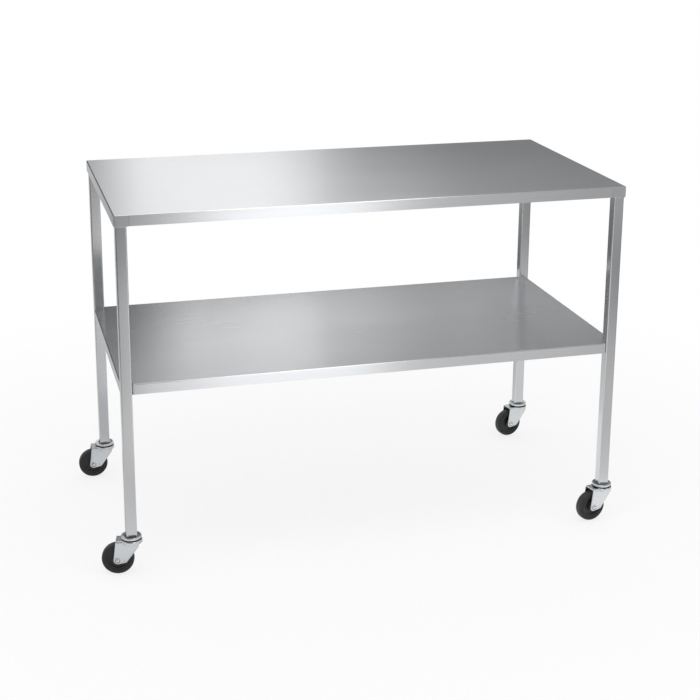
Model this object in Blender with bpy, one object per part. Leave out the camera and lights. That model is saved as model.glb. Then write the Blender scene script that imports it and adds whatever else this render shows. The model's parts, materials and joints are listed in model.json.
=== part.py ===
# Instrument table of stainless steel sheet: a folded top, a notched lower shelf,
# four square legs and four swivel casters. Metres, +Z up, front towards -Y.
# The origin lies on the floor under the middle of the whole footprint.

import bmesh
import bpy
from math import cos, pi, radians, sin, sqrt, tau
from mathutils import Matrix, Vector

# Overall sizes
TABLE_LENGTH = 1.2192
TABLE_WIDTH = 0.6096
TABLE_HEIGHT = 0.8636
SHELF_HEIGHT = 0.470            # shelf surface above the floor

# Folded sheet
SHEET = 0.0015
TOP_SKIRT = 0.0254              # depth of the top's turned-down edge
SHELF_SKIRT = 0.0254
FOLD_RADIUS = 0.0025            # outside radius where a skirt turns down
CORNER_RADIUS = 0.0042          # outside radius of the upright corners

# Stiffening channels under the top and the shelf
CHANNEL_DEPTH = 0.016
CHANNEL_CROWN = 0.045           # width of the channel's lower face
CHANNEL_FLANGE = 0.014
CHANNEL_SETBACK = 0.060         # from a sheet's end to the channel's end

# Legs and the sleeves that hold them in the top's corners
LEG_SIZE = 0.0254
LEG_WALL = 0.0015
LEG_CORNER = 0.0025
SOCKET_WALL = 0.0012
SOCKET_LIP = 0.0025             # how far a sleeve shows below the top's skirt

# Wheels
WHEEL_RADIUS = 0.0381
TREAD_WIDTH = 0.023
TREAD_SHOULDER = 0.0045         # radius between tread and side face
TYRE_DEPTH = 0.0125             # tread to the tyre's inner rim
HUB_WIDTH = 0.0264
HUB_BOSS_RADIUS = 0.0125
HUB_RIM = 0.0035                # thickness of the hub's outer ring
WEB_THICKNESS = 0.010           # hub disc between boss and ring
HUB_SIDE_CLEARANCE = 0.002      # hub face to fork cheek
WHEEL_TOP_CLEARANCE = 0.0075    # tread to the fork's crown

# Axle
AXLE_RADIUS = 0.004
AXLE_HEAD_RADIUS = 0.0066
AXLE_HEAD_HEIGHT = 0.0028
AXLE_TAIL = 0.0015              # thread that shows past the nut
NUT_SIDES = 6
NUT_ACROSS_FLATS = 0.013
NUT_HEIGHT = 0.005
BUSH_RADIUS = 0.00635

# Forks
TRAIL = 0.032                   # swivel axis to axle
FORK_SHEET = 0.0028
FORK_EYE = 0.0097               # plate radius round the axle
FORK_REAR = 0.0036              # crown's rear edge behind the axle
HEEL_FORWARD = 0.0225           # lower front corner of a cheek, ahead of the axle
HEEL_DROP = 0.0066              # and below it
HEEL_RADIUS = 0.005
EYE_START = radians(172)        # where the rear edge meets the eye
HEEL_START = radians(278)       # square to the cheek's lower edge
HEEL_END = radians(324)         # square to its slanting front edge
WAIST_FORWARD = 0.0178          # cheek's front edge ahead of the swivel axis
WAIST_DROP = 0.0115             # and below the crown
DOME_RADIUS = 0.0255
DOME_RISE = 0.0006
DOME_SKIRT = 0.0055
DOME_WALL = 0.0028
DOME_EDGE = 0.0022              # radius of the dome's upper edge

# Swivel head and stem
RACE_HEIGHT = 0.0019
RACE_INNER = 0.0125
RACE_OUTER = 0.0175
COLLAR_RADIUS = 0.0241
COLLAR_HEIGHT = 0.0056
COLLAR_BEVEL = 0.0016
KINGPIN_RADIUS = 0.0055
KINGPIN_HEAD_RADIUS = 0.0085
KINGPIN_HEAD_HEIGHT = 0.0035
INSERT_HEIGHT = 0.032
STEM_SHORT = 0.003              # from the stem's end to the insert's end

# Clearances
SEAT_GAP = 0.0003               # between pieces that touch
TURN_GAP = 0.0004               # round a piece that turns

# How each caster trails at rest, in degrees about +Z from straight to -X
REST_TURN = {"front_left": -11, "back_left": -1, "front_right": 12, "back_right": 13}

# Facets
WHEEL_STEPS = 32
HUB_STEPS = 20
DOME_STEPS = 24
STEM_STEPS = 16
PIN_STEPS = 16
CORNER_STEPS = 3
FOLD_STEPS = 2
EDGE_STEPS = 2                  # rounded edges of turned pieces
EYE_STEPS = 7
HEEL_STEPS = 3
SMOOTH_ANGLE = radians(35)

# Heights that follow from the sizes above
AXLE_HEIGHT = WHEEL_RADIUS * cos(pi / WHEEL_STEPS)      # a tread facet lies on the floor
CROWN_LOW = AXLE_HEIGHT + WHEEL_RADIUS + WHEEL_TOP_CLEARANCE
CROWN_TOP = CROWN_LOW + FORK_SHEET
DOME_TOP = CROWN_TOP + DOME_RISE
DOME_RIM = CROWN_LOW - DOME_SKIRT
COLLAR_LOW = DOME_TOP + RACE_HEIGHT + 2 * SEAT_GAP
COLLAR_TOP = COLLAR_LOW + COLLAR_HEIGHT
LEG_LOW = COLLAR_TOP + SEAT_GAP
LEG_TOP = TABLE_HEIGHT - SHEET - SEAT_GAP

# Plan positions
LEG_INSET = SHEET + SOCKET_WALL + 2 * SEAT_GAP          # leg face behind the top's edge
LEG_X = TABLE_LENGTH / 2 - LEG_INSET - LEG_SIZE / 2
LEG_Y = TABLE_WIDTH / 2 - LEG_INSET - LEG_SIZE / 2
SHELF_LENGTH = TABLE_LENGTH - 2 * LEG_INSET             # shelf skirts flush with the legs
SHELF_WIDTH = TABLE_WIDTH - 2 * LEG_INSET
SHELF_NOTCH = LEG_SIZE + SEAT_GAP
CHEEK_INNER = HUB_WIDTH / 2 + HUB_SIDE_CLEARANCE
CHEEK_OUTER = CHEEK_INNER + FORK_SHEET
CORNERS = {
    "front_left": (-LEG_X, -LEG_Y),
    "back_left": (-LEG_X, LEG_Y),
    "front_right": (LEG_X, -LEG_Y),
    "back_right": (LEG_X, LEG_Y),
}


def clear_scene():
    for old in list(bpy.data.objects):
        bpy.data.objects.remove(old, do_unlink=True)


def finish(name, colour, roughness, metallic):
    material = bpy.data.materials.new(name)
    material.use_nodes = True
    shader = material.node_tree.nodes["Principled BSDF"]
    shader.inputs["Base Color"].default_value = (*colour, 1.0)
    shader.inputs["Roughness"].default_value = roughness
    shader.inputs["Metallic"].default_value = metallic
    return material


def arc(centre, radius, start, end, steps):
    points = []
    for i in range(steps + 1):
        turn = start + (end - start) * i / steps
        points.append((centre[0] + radius * cos(turn), centre[1] + radius * sin(turn)))
    return points


def square_fillet(point, before, after, radius):
    # Rounds one right-angled corner between the directions before and after.
    points = []
    for i in range(CORNER_STEPS + 1):
        turn = pi / 2 * i / CORNER_STEPS
        centre = point - before * radius + after * radius
        points.append(centre - after * radius * cos(turn) + before * radius * sin(turn))
    return points


def rounded_outline(corners, inset, outward_radius, inward_radius=0.0):
    # An inset tightens an outward corner and opens an inward one.
    outline = []
    for i, corner in enumerate(corners):
        point = Vector(corner)
        before = (point - Vector(corners[i - 1])).normalized()
        after = (Vector(corners[(i + 1) % len(corners)]) - point).normalized()
        outward = before.cross(after) > 0
        corner_radius = outward_radius - inset if outward else inward_radius + inset
        outline += square_fillet(point, before, after, corner_radius)
    return outline


def rectangle(length, width):
    x = length / 2
    y = width / 2
    return [(x, -y), (x, y), (-x, y), (-x, -y)]


def notched_rectangle(length, width, notch):
    x = length / 2
    y = width / 2
    inner_x = x - notch
    inner_y = y - notch
    return [
        (x, -inner_y), (x, inner_y), (inner_x, inner_y),
        (inner_x, y), (-inner_x, y), (-inner_x, inner_y),
        (-x, inner_y), (-x, -inner_y), (-inner_x, -inner_y),
        (-inner_x, -y), (inner_x, -y), (inner_x, -inner_y),
    ]


def ring(outline, height):
    return [(x, y, height) for x, y in outline]


def finished_mesh(name, bm):
    bmesh.ops.recalc_face_normals(bm, faces=bm.faces)
    mesh = bpy.data.meshes.new(name)
    bm.to_mesh(mesh)
    bm.free()
    mesh.shade_smooth()
    mesh.set_sharp_from_angle(angle=SMOOTH_ANGLE)
    return mesh


def skinned(name, rings, closed=False):
    # Joins rings of equal counts one to the next; an open run gets two caps.
    bm = bmesh.new()
    loops = [[bm.verts.new(point) for point in points] for points in rings]
    joins = list(zip(loops, loops[1:]))
    if closed:
        joins.append((loops[-1], loops[0]))
    else:
        bm.faces.new(loops[0])
        bm.faces.new(loops[-1])
    for low, high in joins:
        for i in range(len(low)):
            j = (i + 1) % len(low)
            bm.faces.new((low[i], low[j], high[j], high[i]))
    return finished_mesh(name, bm)


def turned(name, profile, steps, closed=True):
    # Spins a profile of (radius, height) points; an open one starts and ends on the axis.
    bm = bmesh.new()
    verts = [bm.verts.new((radius, 0, height)) for radius, height in profile]
    edges = [bm.edges.new(pair) for pair in zip(verts, verts[1:])]
    if closed:
        edges.append(bm.edges.new((verts[-1], verts[0])))
    bmesh.ops.spin(
        bm, geom=verts + edges, cent=(0, 0, 0), axis=(0, 0, 1), angle=tau, steps=steps, use_merge=True
    )
    bmesh.ops.remove_doubles(bm, verts=bm.verts, dist=1e-6)
    bmesh.ops.rotate(bm, verts=bm.verts, matrix=Matrix.Rotation(pi / steps, 3, "Z"))
    return finished_mesh(name, bm)


def rod(name, radius, low, high):
    profile = [(0, low), (radius, low), (radius, high), (0, high)]
    return turned(name, profile, PIN_STEPS, closed=False)


def prism(name, outline, depth, turn):
    # Extrudes an outline both ways from its plane, then turns it into place.
    bm = bmesh.new()
    face = bm.faces.new([bm.verts.new((x, y, -depth / 2)) for x, y in outline])
    extruded = bmesh.ops.extrude_face_region(bm, geom=[face])["geom"]
    raised = [item for item in extruded if isinstance(item, bmesh.types.BMVert)]
    bmesh.ops.translate(bm, verts=raised, vec=(0, 0, depth))
    bmesh.ops.rotate(bm, verts=bm.verts, matrix=turn)
    return finished_mesh(name, bm)


def box_mesh(name, low, high):
    bm = bmesh.new()
    bmesh.ops.create_cube(bm, size=1.0)
    size = [b - a for a, b in zip(low, high)]
    middle = [(a + b) / 2 for a, b in zip(low, high)]
    bmesh.ops.scale(bm, verts=bm.verts, vec=size)
    bmesh.ops.translate(bm, verts=bm.verts, vec=middle)
    return finished_mesh(name, bm)


def carved(name, base, steps):
    # Runs a list of (operation, mesh) Booleans on a base mesh and keeps the result.
    body = place(name, base, None, None)
    for operation, mesh in steps:
        tool = place(mesh.name, mesh, None, None)
        tool.hide_render = True
        tool.display_type = "WIRE"
        boolean = body.modifiers.new(operation.title(), "BOOLEAN")
        boolean.operation = operation
        boolean.solver = "EXACT"
        boolean.object = tool
    graph = bpy.context.evaluated_depsgraph_get()
    result = bpy.data.meshes.new_from_object(body.evaluated_get(graph))
    for boolean in body.modifiers:
        bpy.data.objects.remove(boolean.object, do_unlink=True)
    bpy.data.objects.remove(body, do_unlink=True)
    result.name = name
    result.shade_smooth()
    result.set_sharp_from_angle(angle=SMOOTH_ANGLE)
    return result


def place(name, mesh, material, parent, location=(0, 0, 0)):
    part = bpy.data.objects.new(name, mesh)
    if material:
        mesh.materials.clear()
        mesh.materials.append(material)
    part.location = location
    part.parent = parent
    bpy.context.scene.collection.objects.link(part)
    return part


def empty(name, parent, location=(0, 0, 0), turn=0.0):
    anchor = bpy.data.objects.new(name, None)
    anchor.location = location
    anchor.rotation_euler.z = turn
    anchor.parent = parent
    bpy.context.scene.collection.objects.link(anchor)
    return anchor


# A sheet folded down on every side

def folded_pan(name, outline_at, surface, skirt):
    # outline_at gives the sheet's outline at an inset from its outer face.
    rings = []
    inner_fold = FOLD_RADIUS - SHEET
    for i in range(FOLD_STEPS + 1):
        turn = pi / 2 * i / FOLD_STEPS
        inset = FOLD_RADIUS - inner_fold * sin(turn)
        rings.append(ring(outline_at(inset), surface - FOLD_RADIUS + inner_fold * cos(turn)))
    rings.append(ring(outline_at(SHEET), surface - skirt))
    rings.append(ring(outline_at(0), surface - skirt))
    for i in range(FOLD_STEPS + 1):
        turn = pi / 2 * i / FOLD_STEPS
        inset = FOLD_RADIUS - FOLD_RADIUS * cos(turn)
        rings.append(ring(outline_at(inset), surface - FOLD_RADIUS + FOLD_RADIUS * sin(turn)))
    return skinned(name, rings)


def top_outline(inset):
    corners = rectangle(TABLE_LENGTH - 2 * inset, TABLE_WIDTH - 2 * inset)
    return rounded_outline(corners, inset, CORNER_RADIUS)


def shelf_outline(inset):
    corners = notched_rectangle(SHELF_LENGTH - 2 * inset, SHELF_WIDTH - 2 * inset, SHELF_NOTCH)
    return rounded_outline(corners, inset, CORNER_RADIUS, LEG_CORNER + SEAT_GAP)


def hat_channel(name, length):
    # Folded hat section along X, its two flanges up against the sheet at height 0.
    half = CHANNEL_CROWN / 2
    reach = half + CHANNEL_FLANGE
    inner = half - SHEET
    profile = [
        (-reach, 0), (-inner, 0), (-inner, SHEET - CHANNEL_DEPTH), (inner, SHEET - CHANNEL_DEPTH),
        (inner, 0), (reach, 0), (reach, -SHEET), (half, -SHEET),
        (half, -CHANNEL_DEPTH), (-half, -CHANNEL_DEPTH), (-half, -SHEET), (-reach, -SHEET),
    ]
    upright = Matrix.Rotation(pi / 2, 3, "Z") @ Matrix.Rotation(pi / 2, 3, "X")
    return prism(name, profile, length, upright)


# Square tubes

def square_tube(name, size, wall, corner, low, high):
    outer = rounded_outline(rectangle(size, size), 0, corner)
    inner = rounded_outline(rectangle(size - 2 * wall, size - 2 * wall), wall, corner)
    rings = [ring(outer, low), ring(outer, high), ring(inner, high), ring(inner, low)]
    return skinned(name, rings, closed=True)


def caster_insert(name):
    # Square plug in the leg's foot, bored for the caster's stem.
    size = LEG_SIZE - 2 * LEG_WALL - 2 * SEAT_GAP
    corner = LEG_CORNER - LEG_WALL - SEAT_GAP
    outer = rounded_outline(rectangle(size, size), 0, corner)
    bore_radius = KINGPIN_RADIUS + SEAT_GAP
    start = -pi / 4 - CORNER_STEPS / 2 * tau / len(outer)
    bore = arc((0, 0), bore_radius, start, start + tau, len(outer))[:-1]
    high = LEG_LOW + INSERT_HEIGHT
    rings = [ring(outer, LEG_LOW), ring(outer, high), ring(bore, high), ring(bore, LEG_LOW)]
    return skinned(name, rings, closed=True)


# Caster pieces, drawn about the swivel axis or the axle

def caster_stem(name):
    # Stem, collar and kingpin in one turned piece; its lower head holds the fork up.
    head_top = CROWN_LOW - SEAT_GAP
    head_low = head_top - KINGPIN_HEAD_HEIGHT
    stem_top = LEG_LOW + INSERT_HEIGHT - STEM_SHORT
    profile = [
        (0, head_low), (KINGPIN_RADIUS, head_low), (KINGPIN_HEAD_RADIUS, head_low + COLLAR_BEVEL),
        (KINGPIN_HEAD_RADIUS, head_top), (KINGPIN_RADIUS, head_top),
        (KINGPIN_RADIUS, COLLAR_LOW), (COLLAR_RADIUS - COLLAR_BEVEL, COLLAR_LOW),
        (COLLAR_RADIUS, COLLAR_LOW + COLLAR_BEVEL), (COLLAR_RADIUS, COLLAR_TOP - COLLAR_BEVEL),
        (COLLAR_RADIUS - COLLAR_BEVEL, COLLAR_TOP), (KINGPIN_RADIUS, COLLAR_TOP),
        (KINGPIN_RADIUS, stem_top - COLLAR_BEVEL), (KINGPIN_RADIUS - COLLAR_BEVEL, stem_top),
        (0, stem_top),
    ]
    return turned(name, profile, STEM_STEPS, closed=False)


def ball_race(name):
    low = DOME_TOP + SEAT_GAP
    high = low + RACE_HEIGHT
    profile = [(RACE_INNER, low), (RACE_OUTER, low), (RACE_OUTER, high), (RACE_INNER, high)]
    return turned(name, profile, STEM_STEPS)


def cheek_front():
    # Where a cheek's outer face meets the dome's edge, ahead of the swivel axis.
    return sqrt(DOME_RADIUS ** 2 - CHEEK_OUTER ** 2)


def cheek_outline():
    # Side view of the fork: rear edge, eye round the axle, heel, waist, crown.
    eye = (-TRAIL, AXLE_HEIGHT)
    heel = (-TRAIL + HEEL_FORWARD - HEEL_RADIUS, AXLE_HEIGHT - HEEL_DROP + HEEL_RADIUS)
    front = cheek_front()
    outline = [(-TRAIL - FORK_REAR, CROWN_TOP)]
    outline += arc(eye, FORK_EYE, EYE_START, HEEL_START, EYE_STEPS)
    outline += arc(heel, HEEL_RADIUS, HEEL_START, HEEL_END, HEEL_STEPS)
    outline.append((WAIST_FORWARD, CROWN_LOW - WAIST_DROP))
    outline.append((front, CROWN_LOW))
    outline.append((front, CROWN_TOP))
    return outline


def fork(name):
    # A cheek-shaped block with a hollow dome on it, opened for the wheel and bored.
    block = prism(name + "_block", cheek_outline(), 2 * CHEEK_OUTER, Matrix.Rotation(pi / 2, 3, "X"))
    inside = CROWN_LOW + DOME_RISE
    hollow = [(0, inside), (DOME_RADIUS - DOME_WALL, inside), (DOME_RADIUS - DOME_WALL, DOME_RIM)]
    edge = arc((DOME_RADIUS - DOME_EDGE, DOME_TOP - DOME_EDGE), DOME_EDGE, 0, pi / 2, EDGE_STEPS)
    cup = hollow + [(DOME_RADIUS, DOME_RIM)] + edge + [(0, DOME_TOP)]
    dome = turned(name + "_dome", cup, DOME_STEPS, closed=False)
    rear = -TRAIL - FORK_EYE - FORK_REAR
    ahead = cheek_front() + SEAT_GAP
    channel = box_mesh(name + "_channel", (rear, -CHEEK_INNER, 0), (ahead, CHEEK_INNER, CROWN_LOW))
    bore = rod(name + "_bore", KINGPIN_RADIUS + TURN_GAP, 0, COLLAR_LOW)
    eye = rod(name + "_eye", AXLE_RADIUS + SEAT_GAP, -2 * CHEEK_OUTER, 2 * CHEEK_OUTER)
    eye.transform(Matrix.Translation((-TRAIL, 0, AXLE_HEIGHT)) @ Matrix.Rotation(pi / 2, 4, "X"))
    cuts = [("DIFFERENCE", tool) for tool in (channel, bore, eye)]
    return carved(name, block, [("UNION", dome)] + cuts)


# The axle pieces are drawn along Z and then laid along Y, heads towards -Y

def lay_down(mesh):
    mesh.transform(Matrix.Rotation(pi / 2, 4, "X"))
    return mesh


def axle_bolt(name):
    seat = CHEEK_OUTER + SEAT_GAP
    tail = -(CHEEK_OUTER + 2 * SEAT_GAP + NUT_HEIGHT + AXLE_TAIL)
    shoulder = AXLE_HEAD_RADIUS - AXLE_HEAD_HEIGHT / 2
    profile = [
        (0, tail), (AXLE_RADIUS, tail), (AXLE_RADIUS, seat), (AXLE_HEAD_RADIUS, seat),
        (AXLE_HEAD_RADIUS, seat + AXLE_HEAD_HEIGHT / 2), (shoulder, seat + AXLE_HEAD_HEIGHT),
        (0, seat + AXLE_HEAD_HEIGHT),
    ]
    return lay_down(turned(name, profile, PIN_STEPS, closed=False))


def axle_nut(name):
    high = -(CHEEK_OUTER + SEAT_GAP)
    corner_radius = NUT_ACROSS_FLATS / 2 / cos(pi / NUT_SIDES)
    corners = arc((0, 0), corner_radius, 0, tau, NUT_SIDES)
    flats = []
    for (x, y), (next_x, next_y) in zip(corners, corners[1:]):
        flats += [(x, y), ((x + next_x) / 2, (y + next_y) / 2)]
    bore = arc((0, 0), AXLE_RADIUS + SEAT_GAP, 0, tau, len(flats))[:-1]
    low = high - NUT_HEIGHT
    rings = [ring(flats, low), ring(flats, high), ring(bore, high), ring(bore, low)]
    return lay_down(skinned(name, rings, closed=True))


def axle_bush(name):
    half = CHEEK_INNER - SEAT_GAP
    bore = AXLE_RADIUS + SEAT_GAP
    profile = [(bore, -half), (BUSH_RADIUS, -half), (BUSH_RADIUS, half), (bore, half)]
    return lay_down(turned(name, profile, PIN_STEPS))


def wheel_hub(name):
    rim = WHEEL_RADIUS - TYRE_DEPTH - SEAT_GAP
    rim_half = TREAD_WIDTH / 2 - TREAD_SHOULDER / 2
    bore = BUSH_RADIUS + TURN_GAP
    half = HUB_WIDTH / 2
    web = WEB_THICKNESS / 2
    side = [(bore, half), (HUB_BOSS_RADIUS, half), (HUB_BOSS_RADIUS, web)]
    side += [(rim - HUB_RIM, web), (rim - HUB_RIM, rim_half), (rim, rim_half)]
    profile = side + [(radius, -height) for radius, height in reversed(side)]
    return lay_down(turned(name, profile, HUB_STEPS))


def tyre(name):
    inner = WHEEL_RADIUS - TYRE_DEPTH
    half = TREAD_WIDTH / 2
    side = [(inner, half - TREAD_SHOULDER / 2), (inner + TREAD_SHOULDER / 2, half)]
    shoulder = (WHEEL_RADIUS - TREAD_SHOULDER, half - TREAD_SHOULDER)
    side += arc(shoulder, TREAD_SHOULDER, pi / 2, 0, EDGE_STEPS)
    profile = side + [(radius, -height) for radius, height in reversed(side)]
    return lay_down(turned(name, profile, WHEEL_STEPS))


def build_frame(table, steel):
    top = folded_pan("top_sheet", top_outline, TABLE_HEIGHT, TOP_SKIRT)
    place("top_sheet", top, steel, table)
    shelf = folded_pan("shelf_sheet", shelf_outline, SHELF_HEIGHT, SHELF_SKIRT)
    place("shelf_sheet", shelf, steel, table)
    under_sheet = SHEET + SEAT_GAP
    top_channel = hat_channel("top_stiffener", TABLE_LENGTH - 2 * CHANNEL_SETBACK)
    place("top_stiffener", top_channel, steel, table, (0, 0, TABLE_HEIGHT - under_sheet))
    shelf_channel = hat_channel("shelf_stiffener", SHELF_LENGTH - 2 * CHANNEL_SETBACK)
    place("shelf_stiffener", shelf_channel, steel, table, (0, 0, SHELF_HEIGHT - under_sheet))
    leg = square_tube("leg", LEG_SIZE, LEG_WALL, LEG_CORNER, LEG_LOW, LEG_TOP)
    sleeve_size = LEG_SIZE + 2 * SEAT_GAP + 2 * SOCKET_WALL
    sleeve_low = TABLE_HEIGHT - TOP_SKIRT - SOCKET_LIP
    sleeve_high = TABLE_HEIGHT - FOLD_RADIUS - SEAT_GAP
    sleeve_corner = LEG_CORNER + SEAT_GAP + SOCKET_WALL
    sleeve = square_tube("leg_socket", sleeve_size, SOCKET_WALL, sleeve_corner, sleeve_low, sleeve_high)
    for corner, (x, y) in CORNERS.items():
        place("leg_" + corner, leg, steel, table, (x, y, 0))
        place("leg_socket_" + corner, sleeve, steel, table, (x, y, 0))


def build_casters(table, steel, bearing, zinc, rubber, core):
    on_table = [(caster_insert("caster_insert"), bearing), (caster_stem("caster_stem"), zinc)]
    on_swivel = [(ball_race("ball_race"), bearing), (fork("fork"), zinc)]
    on_axle = [(axle_bolt("axle_bolt"), zinc), (axle_nut("axle_nut"), zinc)]
    on_axle += [(axle_bush("axle_bush"), bearing), (wheel_hub("wheel_hub"), core), (tyre("tyre"), rubber)]
    for corner, (x, y) in CORNERS.items():
        swivel = empty("swivel_" + corner, table, (x, y, 0), radians(REST_TURN[corner]))
        axle = empty("axle_" + corner, swivel, (-TRAIL, 0, AXLE_HEIGHT))
        for mesh, material in on_table:
            place(mesh.name + "_" + corner, mesh, material, table, (x, y, 0))
        for mesh, material in on_swivel:
            place(mesh.name + "_" + corner, mesh, material, swivel)
        for mesh, material in on_axle:
            place(mesh.name + "_" + corner, mesh, material, axle)


def centre_footprint(table):
    # Moves the table so that the origin lies under the middle of everything that stands there.
    bpy.context.view_layer.update()
    solids = [part for part in bpy.data.objects if part.type == "MESH"]
    points = [part.matrix_world @ vert.co for part in solids for vert in part.data.vertices]
    for axis in (0, 1):
        reach = [point[axis] for point in points]
        table.location[axis] = -(min(reach) + max(reach)) / 2


def build():
    clear_scene()
    steel = finish("brushed_steel", (0.62, 0.63, 0.64), 0.32, 1.0)
    bearing = finish("bearing_steel", (0.45, 0.45, 0.46), 0.40, 1.0)
    zinc = finish("bright_zinc", (0.78, 0.79, 0.80), 0.22, 1.0)
    rubber = finish("black_rubber", (0.028, 0.029, 0.030), 0.55, 0.0)
    core = finish("black_core", (0.022, 0.022, 0.024), 0.42, 0.0)
    table = empty("table", None)
    build_frame(table, steel)
    build_casters(table, steel, bearing, zinc, rubber, core)
    centre_footprint(table)


build()
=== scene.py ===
import json
from math import cos, pi, radians, sin, sqrt, tau

import bmesh
import bpy
from mathutils import Matrix, Vector


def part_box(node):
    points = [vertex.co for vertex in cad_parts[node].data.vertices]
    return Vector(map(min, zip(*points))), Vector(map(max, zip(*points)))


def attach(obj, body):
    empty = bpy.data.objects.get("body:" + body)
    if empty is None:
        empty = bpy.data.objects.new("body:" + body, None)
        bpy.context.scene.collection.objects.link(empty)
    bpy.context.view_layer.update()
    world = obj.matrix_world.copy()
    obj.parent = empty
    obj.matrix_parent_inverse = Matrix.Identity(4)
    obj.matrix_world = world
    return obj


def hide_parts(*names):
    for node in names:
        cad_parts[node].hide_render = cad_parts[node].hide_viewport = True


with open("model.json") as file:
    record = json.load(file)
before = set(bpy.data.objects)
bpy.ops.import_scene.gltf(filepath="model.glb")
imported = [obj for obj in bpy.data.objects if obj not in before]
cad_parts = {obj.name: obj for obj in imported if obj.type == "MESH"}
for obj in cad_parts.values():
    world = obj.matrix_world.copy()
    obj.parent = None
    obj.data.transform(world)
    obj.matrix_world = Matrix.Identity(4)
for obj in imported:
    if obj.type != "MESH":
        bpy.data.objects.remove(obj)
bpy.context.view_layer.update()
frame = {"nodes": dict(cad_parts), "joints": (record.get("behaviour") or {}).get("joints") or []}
scene = bpy.context.scene
corners = ("front_left", "back_left", "front_right", "back_right")
quadrants = ((-1, -1), (-1, 1), (1, -1), (1, 1))
joints = {joint["name"]: joint for joint in frame["joints"]}
topLow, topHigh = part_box("top_sheet")
shelfLow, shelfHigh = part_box("shelf_sheet")
tableCentre = Vector(((topLow.x + topHigh.x) / 2, (topLow.y + topHigh.y) / 2, 0))
seatGap = 0.0003                       # clearance the solids keep between touching pieces
tiny = 1e-6                            # lengths that count as none


# small makers of outlines and meshes

def arcPoints(centre, radius, start, end, steps):
    turns = [radians(start + (end - start) * i / steps) for i in range(steps + 1)]
    return [(centre[0] + radius * cos(t), centre[1] + radius * sin(t)) for t in turns]


def squareCorner(point, before, after, radius, steps):
    centre = point - before * radius + after * radius
    turns = [pi / 2 * i / steps for i in range(steps + 1)]
    return [centre - after * radius * cos(t) + before * radius * sin(t) for t in turns]


def softOutline(points, outward, inward, steps):
    # right-angled corners get one radius where they stick out, another where they cut in
    outline = []
    for i, corner in enumerate(points):
        point = Vector(corner)
        before = (point - Vector(points[i - 1])).normalized()
        after = (Vector(points[(i + 1) % len(points)]) - point).normalized()
        radius = outward if before.cross(after) > 0 else inward
        outline += squareCorner(point, before, after, radius, steps)
    return outline


def rectangle(length, width):
    x, y = length / 2, width / 2
    return [(x, -y), (x, y), (-x, y), (-x, -y)]


def notchedRectangle(length, width, notch):
    x, y = length / 2, width / 2
    a, b = x - notch, y - notch
    right = [(x, -b), (x, b), (a, b), (a, y)]
    left = [(-a, y), (-a, b), (-x, b), (-x, -b)]
    return right + left + [(-a, -b), (-a, -y), (a, -y), (a, -b)]


def ringAt(outline, height, centre):
    return [(p[0] + centre[0], p[1] + centre[1], height) for p in outline]


def loftRings(rings, closed=False):
    bm = bmesh.new()
    loops = [[bm.verts.new(point) for point in points] for points in rings]
    pairs = list(zip(loops, loops[1:]))
    if closed:
        pairs.append((loops[-1], loops[0]))
    else:
        bm.faces.new(loops[0])
        bm.faces.new(loops[-1])
    for low, high in pairs:
        for i in range(len(low)):
            j = (i + 1) % len(low)
            bm.faces.new((low[i], low[j], high[j], high[i]))
    bmesh.ops.recalc_face_normals(bm, faces=bm.faces)
    return bm


def lathe(profile, steps, closed=True):
    # an open profile starts and ends on the axis
    bm = bmesh.new()
    verts = [bm.verts.new((radius, 0, height)) for radius, height in profile]
    edges = [bm.edges.new(pair) for pair in zip(verts, verts[1:])]
    if closed:
        edges.append(bm.edges.new((verts[-1], verts[0])))
    bmesh.ops.spin(bm, geom=verts + edges, cent=(0, 0, 0), axis=(0, 0, 1),
                   angle=tau, steps=steps, use_merge=True)
    bmesh.ops.remove_doubles(bm, verts=bm.verts, dist=tiny)
    bmesh.ops.recalc_face_normals(bm, faces=bm.faces)
    return bm


def prism(outline, low, high):
    # outline in the XZ plane, drawn out along Y
    bm = bmesh.new()
    face = bm.faces.new([bm.verts.new((x, low, z)) for x, z in outline])
    drawn = bmesh.ops.extrude_face_region(bm, geom=[face])["geom"]
    moved = [item for item in drawn if isinstance(item, bmesh.types.BMVert)]
    bmesh.ops.translate(bm, verts=moved, vec=(0, high - low, 0))
    bmesh.ops.recalc_face_normals(bm, faces=bm.faces)
    return bm


def makePiece(name, bm, material, sharp=40):
    mesh = bpy.data.meshes.new(name)
    bm.to_mesh(mesh)
    bm.free()
    mesh.shade_smooth()
    mesh.set_sharp_from_angle(angle=radians(sharp))
    if material:
        mesh.materials.append(material)
    piece = bpy.data.objects.new(name, mesh)
    scene.collection.objects.link(piece)
    return piece


def applyModifiers(piece):
    graph = bpy.context.evaluated_depsgraph_get()
    mesh = bpy.data.meshes.new_from_object(piece.evaluated_get(graph))
    piece.modifiers.clear()
    old = piece.data
    piece.data = mesh
    bpy.data.meshes.remove(old)
    mesh.name = piece.name
    return piece


def evenNormals(piece):
    # large flat faces stay flat next to their rounded edges
    weighted = piece.modifiers.new("Even", "WEIGHTED_NORMAL")
    weighted.keep_sharp = True
    weighted.weight = 100
    return applyModifiers(piece)


def dress(piece, body, slotName, *nodes):
    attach(piece, body)
    if nodes:
        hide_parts(*nodes)


def steelPiece(name, bm, finish, node):
    piece = makePiece(name, bm, finish, sharp=50)
    dress(evenNormals(piece), "table", "brushed_steel", node)


def layUv(bm, rule):
    layer = bm.loops.layers.uv.new("UVMap")
    for face in bm.faces:
        for loop in face.loops:
            loop[layer].uv = rule(loop.vert.co, face.normal)


def grainUv(co, normal):
    # u follows the brushing: along X on the sheet, and on down the end skirts
    side = [abs(n) for n in normal]
    if side[0] == max(side):
        return co.z, co.y
    return (co.x, co.z) if side[1] == max(side) else (co.x, co.y)


def tubeUv(co, normal):
    # a drawn tube is brushed along its length
    return co.z, co.x + co.y


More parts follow.
